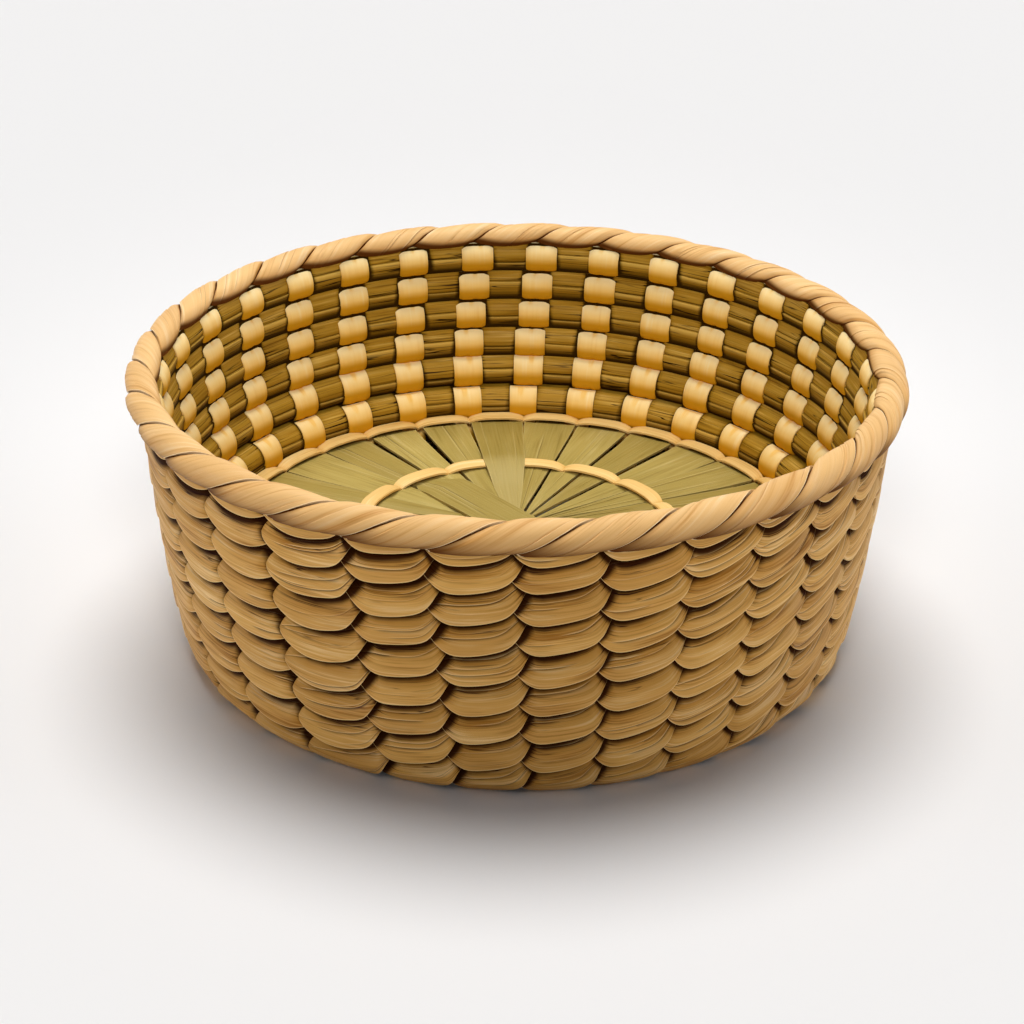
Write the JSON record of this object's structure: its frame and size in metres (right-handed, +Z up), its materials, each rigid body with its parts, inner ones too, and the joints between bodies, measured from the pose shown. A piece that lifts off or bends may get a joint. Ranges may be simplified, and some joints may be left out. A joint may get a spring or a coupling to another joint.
{
  "type": "tortilla basket",
  "caption": "Round woven basket for tortillas: grass coils bound with tan leaf strips, a rope-wrapped rim and a raised floor of radial green leaves held by strip rings.",
  "frame": {"origin": "on the table under the middle of the basket, at the foot's flat underside", "axes": "+Z up through the open mouth; -Y is the front that the picture shows, +X to its right"},
  "size_m": [0.2495, 0.2497, 0.0994],
  "materials": {
    "binding_strip": "dry tan leaf strip, satin, with fine lengthwise fibres",
    "rim_strip": "paler golden leaf strip, satin, with fine lengthwise fibres",
    "grass": "dark olive dried grass blades, satin",
    "floor_leaf": "olive green dried palm leaf, satin, ribbed lengthwise"
  },
  "bodies": {
    "root": {"floor_leaf_01": "floor_leaf", "floor_leaf_02": "floor_leaf", "floor_leaf_03": "floor_leaf", "floor_leaf_04": "floor_leaf", "floor_leaf_05": "floor_leaf", "floor_leaf_06": "floor_leaf", "floor_leaf_07": "floor_leaf", "floor_leaf_08": "floor_leaf", "floor_leaf_09": "floor_leaf", "floor_leaf_10": "floor_leaf", "floor_leaf_11": "floor_leaf", "floor_leaf_12": "floor_leaf", "floor_leaf_13": "floor_leaf", "floor_leaf_14": "floor_leaf", "floor_leaf_15": "floor_leaf", "floor_leaf_16": "floor_leaf", "floor_leaf_17": "floor_leaf", "floor_leaf_18": "floor_leaf", "floor_leaf_19": "floor_leaf", "floor_leaf_20": "floor_leaf", "floor_leaf_21": "floor_leaf", "floor_leaf_22": "floor_leaf", "floor_leaf_23": "floor_leaf", "floor_leaf_24": "floor_leaf", "floor_leaf_25": "floor_leaf", "floor_leaf_26": "floor_leaf", "floor_leaf_27": "floor_leaf", "floor_leaf_28": "floor_leaf", "floor_leaf_29": "floor_leaf", "floor_leaf_30": "floor_leaf", "floor_leaf_31": "floor_leaf", "grass_coil_1": "grass", "grass_coil_2": "grass", "grass_coil_3": "grass", "grass_coil_4": "grass", "grass_coil_5": "grass", "grass_coil_6": "grass", "grass_coil_7": "grass", "grass_coil_8": "grass", "grass_coil_9": "grass", "rim_core": "grass", "binding_row_1": "binding_strip", "binding_row_2": "binding_strip", "binding_row_3": "binding_strip", "binding_row_4": "binding_strip", "binding_row_5": "binding_strip", "binding_row_6": "binding_strip", "binding_row_7": "binding_strip", "binding_row_8": "binding_strip", "binding_row_9": "binding_strip", "floor_ring_inner": "binding_strip", "floor_ring_outer": "binding_strip", "rim_wrap": "rim_strip"}
  },
  "joints": []
}
